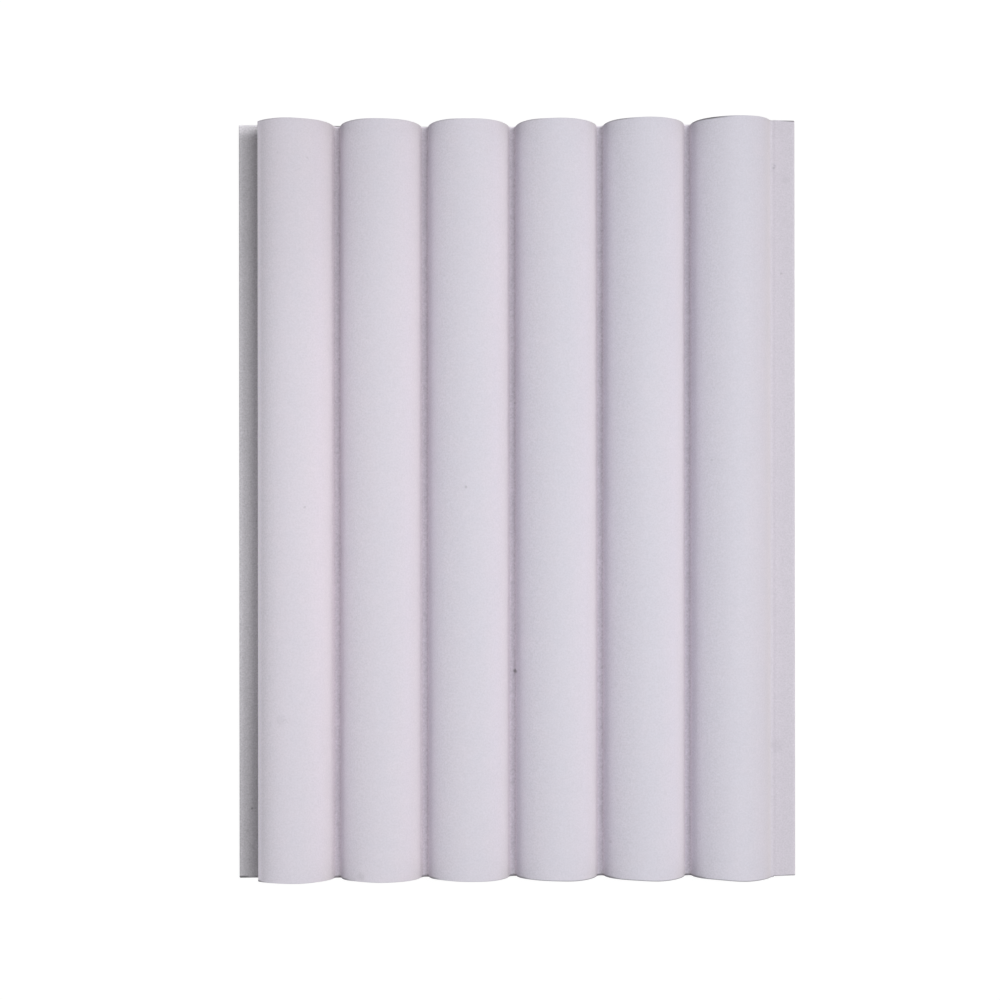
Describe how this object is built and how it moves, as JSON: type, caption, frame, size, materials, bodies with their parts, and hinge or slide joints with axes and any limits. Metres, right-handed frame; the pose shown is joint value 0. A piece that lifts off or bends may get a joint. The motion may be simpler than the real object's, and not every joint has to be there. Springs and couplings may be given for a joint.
{
  "type": "fluted wall panel",
  "caption": "Flat-backed wall panel with half-round reeds along its front, and a tongue and lip along its long edges that join it to the next panel.",
  "frame": {"origin": "middle of the flat back face", "axes": "+Y along the reeds, the long way of the piece; +Z out of the wall, from the back towards the reeds; +X across the reeds, from the lip edge to the tongue edge"},
  "size_m": [0.1478, 0.2, 0.012],
  "materials": {
    "primed_polymer": "Matt pale lilac off-white primer on moulded polymer, with very fine grain and a few pinholes."
  },
  "bodies": {
    "root": {"fluted_panel": "primed_polymer"}
  },
  "joints": []
}
